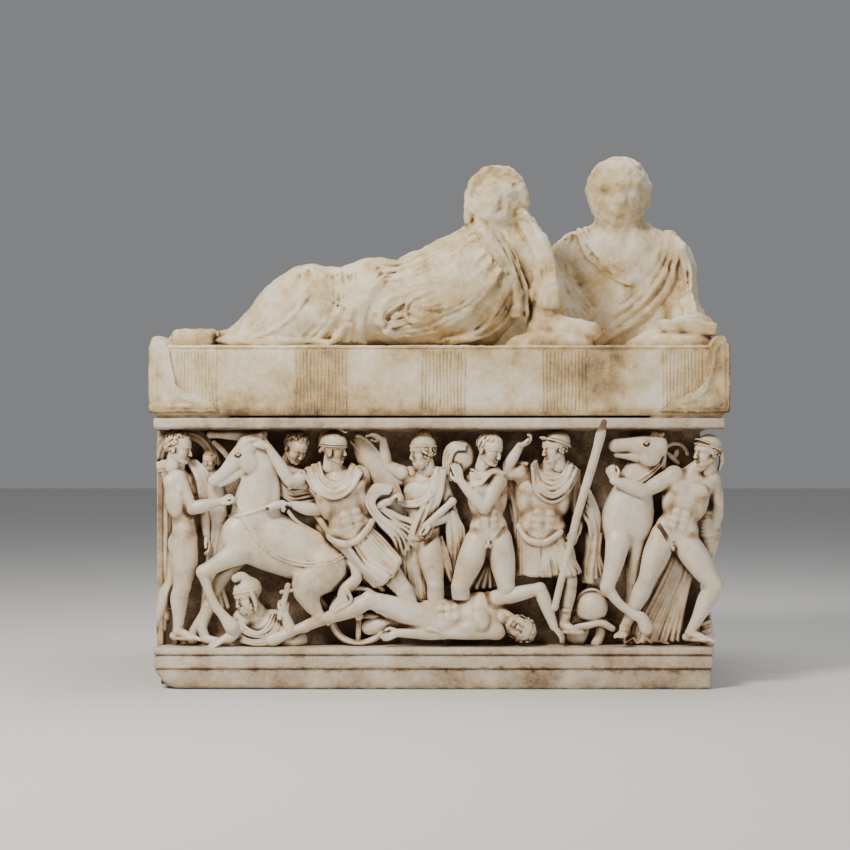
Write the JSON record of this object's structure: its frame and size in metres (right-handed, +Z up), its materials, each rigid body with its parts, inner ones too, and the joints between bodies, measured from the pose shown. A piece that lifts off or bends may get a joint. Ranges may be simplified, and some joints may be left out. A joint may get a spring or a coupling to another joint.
{
  "type": "stone sarcophagus",
  "caption": "Hollow marble sarcophagus: a chest with a battle frieze in high relief on its front, and a couch-shaped lid with a reclining couple whose heads are only roughed out.",
  "frame": {"origin": "middle of the footprint, on the floor", "axes": "+X along the front towards its right end, -Y out of the carved front, +Z up"},
  "size_m": [2.164, 1.28, 2.073],
  "materials": {
    "carved_marble": "polished on the figures, tooled and ochre-stained between them",
    "rough_marble": "rasped and unfinished, matte, stained yellow-ochre"
  },
  "bodies": {
    "root": {"chest": "carved_marble", "lid": "rough_marble"}
  },
  "joints": []
}
